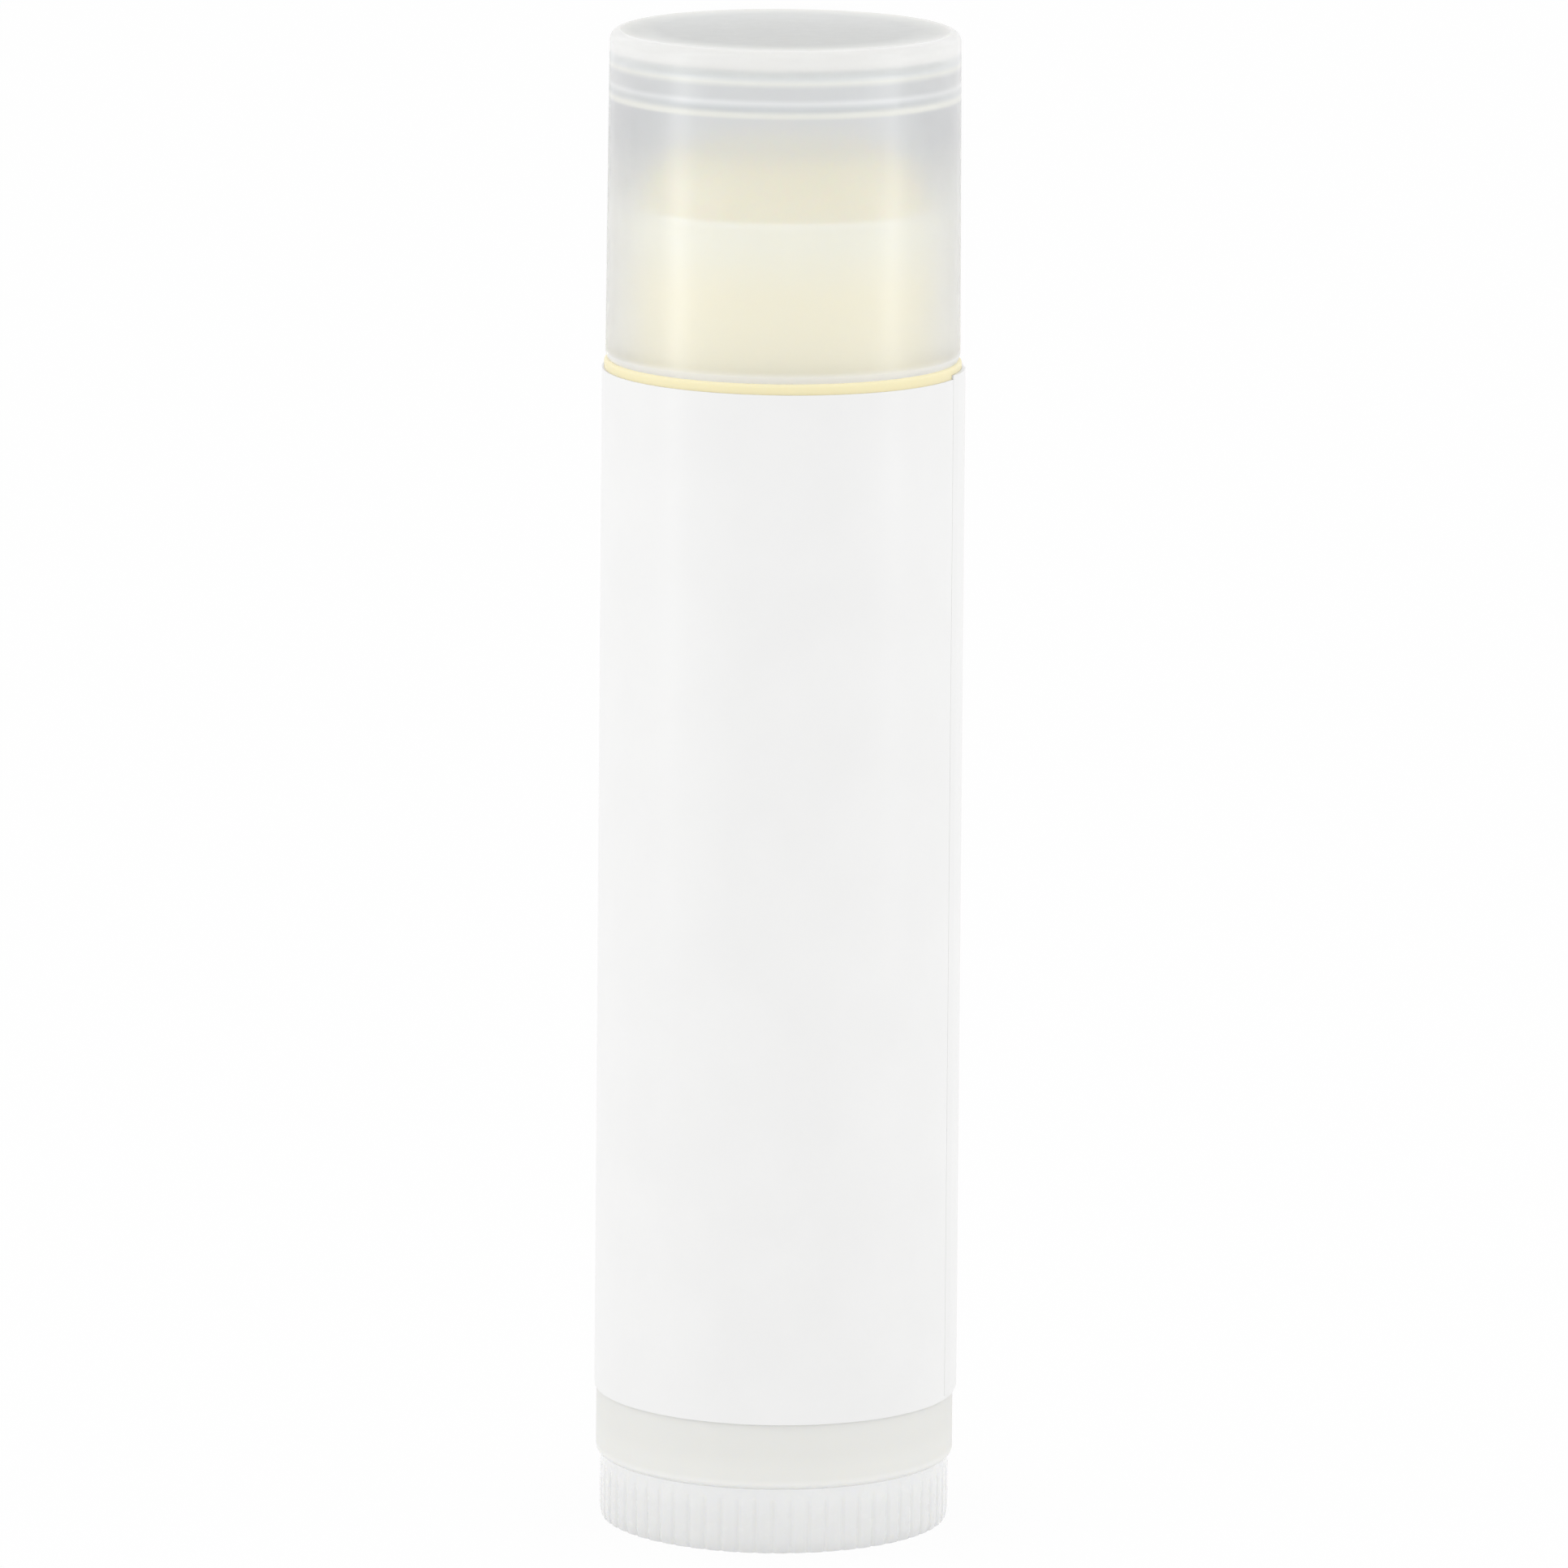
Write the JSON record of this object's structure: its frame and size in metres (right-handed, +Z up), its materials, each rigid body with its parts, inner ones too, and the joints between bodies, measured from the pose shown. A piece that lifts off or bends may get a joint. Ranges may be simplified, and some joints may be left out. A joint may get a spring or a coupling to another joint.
{
  "type": "lip balm stick",
  "caption": "Twist-up lip balm stick: frosted tube with a wrapped blank label, ribbed thumbwheel with a screw, keyed carrier cup, poured balm and a pull-off cap.",
  "frame": {"origin": "centre of the ring that the thumbwheel stands on", "axes": "+Z up along the stick to the cap; the pictured front faces -Y"},
  "size_m": [0.0163, 0.0162, 0.0671],
  "materials": {
    "cap_plastic": "frosted translucent polypropylene",
    "tube_plastic": "frosted translucent polypropylene",
    "label_film": "satin white film",
    "wheel_plastic": "frosted translucent polypropylene",
    "carrier_plastic": "natural polypropylene",
    "balm_wax": "soft wax sheen"
  },
  "bodies": {
    "tube": {"tube_body": "tube_plastic", "label": "label_film"},
    "wheel": {"thumbwheel_screw": "wheel_plastic"},
    "carrier": {"carrier_cup": "carrier_plastic", "balm_stick": "balm_wax"},
    "cap": {"cap": "cap_plastic"}
  },
  "joints": [
    {"name": "wheel_turn", "type": "hinge", "parent": "tube", "child": "wheel", "pos_m": [0, 0, 0.0035], "axis": [0, 0, 1], "range_deg": [0, 2700]},
    {"name": "balm_rise", "type": "slide", "parent": "tube", "child": "carrier", "axis": [0, 0, 1], "range_m": [0, 0.045]},
    {"name": "cap_pull", "type": "slide", "parent": "carrier", "child": "cap", "axis": [0, 0, 1], "range_m": [0, 0.03]}
  ],
  "couplings": [
    {"joint": "wheel_turn", "follows": "balm_rise", "rad_per_m": 1047.2}
  ]
}
